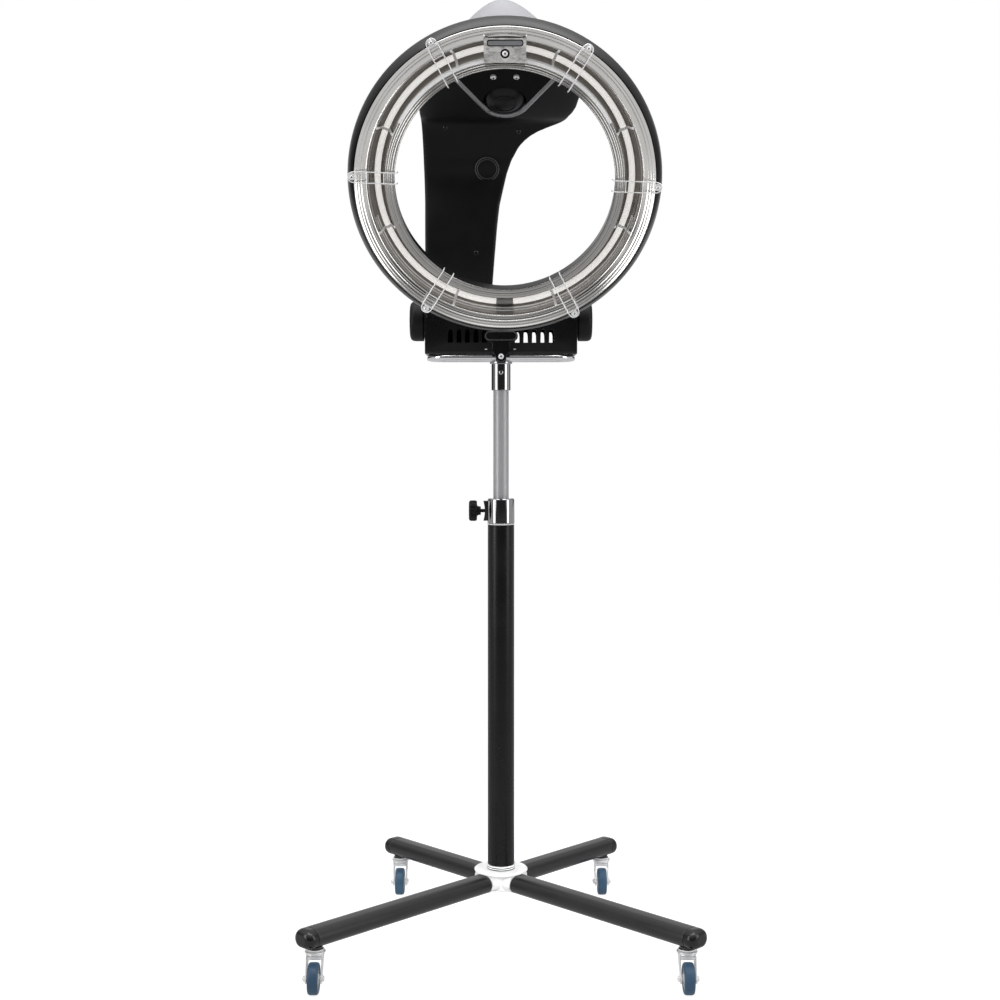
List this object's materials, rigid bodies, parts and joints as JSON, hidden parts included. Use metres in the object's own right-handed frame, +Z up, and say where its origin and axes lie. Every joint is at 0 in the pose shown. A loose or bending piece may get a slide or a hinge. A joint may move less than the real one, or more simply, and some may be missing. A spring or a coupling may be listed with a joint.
{
  "type": "hair color processor",
  "caption": "Rolling stand with a telescopic column, a tilting arm and a lamp ring that orbits round a seated client's head.",
  "frame": {"origin": "on the floor under the middle of the object's box", "axes": "+Z up, the client sits on the -Y side, +X is to the right of a viewer who faces the ring"},
  "size_m": [0.6584, 0.6388, 1.6121],
  "materials": {
    "black_paint": "satin powder coat",
    "black_plastic": "fine grain",
    "chrome": "polished",
    "zinc": "bright zinc",
    "tread": "smooth",
    "white_plastic": "moulded",
    "silver_plastic": "metallic lacquer",
    "reflector": "bright rolled",
    "lamp_glass": "clear",
    "steel": "mill"
  },
  "bodies": {
    "base": {"base_hub": "chrome", "leg_front_left": "black_paint", "leg_cap_front_left": "black_plastic", "caster_stem_front_left": "black_plastic", "leg_front_right": "black_paint", "leg_cap_front_right": "black_plastic", "caster_stem_front_right": "black_plastic", "leg_rear_left": "black_paint", "leg_cap_rear_left": "black_plastic", "caster_stem_rear_left": "black_plastic", "leg_rear_right": "black_paint", "leg_cap_rear_right": "black_plastic", "caster_stem_rear_right": "black_plastic", "column_foot": "chrome", "column_tube": "black_paint", "column_bush": "white_plastic", "clamp_collar": "chrome"},
    "fork_front_left": {"caster_fork_front_left": "zinc", "caster_axle_front_left": "zinc"},
    "wheel_front_left": {"caster_wheel_front_left": "tread"},
    "fork_front_right": {"caster_fork_front_right": "zinc", "caster_axle_front_right": "zinc"},
    "wheel_front_right": {"caster_wheel_front_right": "tread"},
    "fork_rear_left": {"caster_fork_rear_left": "zinc", "caster_axle_rear_left": "zinc"},
    "wheel_rear_left": {"caster_wheel_rear_left": "tread"},
    "fork_rear_right": {"caster_fork_rear_right": "zinc", "caster_axle_rear_right": "zinc"},
    "wheel_rear_right": {"caster_wheel_rear_right": "tread"},
    "knob": {"clamp_knob": "black_plastic"},
    "glide": {"post_glide": "white_plastic"},
    "head": {"post_tube": "chrome", "post_sleeve": "chrome", "handle_rail": "chrome", "housing_front": "black_plastic", "housing_rear": "black_plastic", "power_inlet": "black_plastic", "lever_screw": "zinc"},
    "lever": {"tilt_lever": "black_plastic"},
    "arm": {"tilt_shaft": "steel", "tilt_cap_left": "black_plastic", "tilt_cap_right": "black_plastic", "arm_front_cover": "black_plastic", "arm_rear_cover": "silver_plastic", "arm_spine": "steel", "orbit_motor": "steel", "control_panel": "black_plastic"},
    "ring": {"orbit_hub": "black_plastic", "ring_yoke": "black_plastic", "ring_shell": "black_plastic", "ring_reflector": "reflector", "lamp_left": "lamp_glass", "lamp_right": "lamp_glass", "terminal_plate": "zinc", "wire_guard_1": "chrome", "wire_guard_2": "chrome", "wire_guard_3": "chrome", "wire_guard_4": "chrome", "wire_guard_5": "chrome", "wire_guard_6": "chrome"}
  },
  "joints": [
    {"name": "caster_swivel_front_left", "type": "hinge", "parent": "base", "child": "fork_front_left", "pos_m": [-0.29801, -0.22407, 0.0634], "axis": [0, 0, 1], "continuous": true},
    {"name": "wheel_spin_front_left", "type": "hinge", "parent": "fork_front_left", "child": "wheel_front_left", "pos_m": [-0.29801, -0.24407, 0.025], "axis": [1, 0, 0], "continuous": true},
    {"name": "caster_swivel_front_right", "type": "hinge", "parent": "base", "child": "fork_front_right", "pos_m": [0.29801, -0.22407, 0.0634], "axis": [0, 0, 1], "continuous": true},
    {"name": "wheel_spin_front_right", "type": "hinge", "parent": "fork_front_right", "child": "wheel_front_right", "pos_m": [0.29801, -0.24407, 0.025], "axis": [1, 0, 0], "continuous": true},
    {"name": "caster_swivel_rear_left", "type": "hinge", "parent": "base", "child": "fork_rear_left", "pos_m": [-0.1952, 0.28666, 0.0634], "axis": [0, 0, 1], "continuous": true},
    {"name": "wheel_spin_rear_left", "type": "hinge", "parent": "fork_rear_left", "child": "wheel_rear_left", "pos_m": [-0.1952, 0.26666, 0.025], "axis": [1, 0, 0], "continuous": true},
    {"name": "caster_swivel_rear_right", "type": "hinge", "parent": "base", "child": "fork_rear_right", "pos_m": [0.1952, 0.28666, 0.0634], "axis": [0, 0, 1], "continuous": true},
    {"name": "wheel_spin_rear_right", "type": "hinge", "parent": "fork_rear_right", "child": "wheel_rear_right", "pos_m": [0.1952, 0.26666, 0.025], "axis": [1, 0, 0], "continuous": true},
    {"name": "knob_turn", "type": "hinge", "parent": "base", "child": "knob", "pos_m": [0, 0.08453, 0.7515], "axis": [1, 0, 0], "continuous": true},
    {"name": "column_slide", "type": "slide", "parent": "base", "child": "glide", "axis": [0, 0, 1], "range_m": [-0.18, 0.15]},
    {"name": "head_swivel", "type": "hinge", "parent": "glide", "child": "head", "pos_m": [0, 0.08453, 1], "axis": [0, 0, 1], "continuous": true},
    {"name": "arm_tilt", "type": "hinge", "parent": "head", "child": "arm", "pos_m": [0, 0.08453, 1.0943], "axis": [1, 0, 0], "range_deg": [-15, 25]},
    {"name": "lever_turn", "type": "hinge", "parent": "head", "child": "lever", "pos_m": [0, 0.03453, 1.028], "axis": [0, 1, 0], "range_deg": [-20, 20]},
    {"name": "ring_orbit", "type": "hinge", "parent": "arm", "child": "ring", "pos_m": [0.006, -0.24047, 1.2913], "axis": [0, 0.4305, 0.9026], "continuous": true}
  ]
}
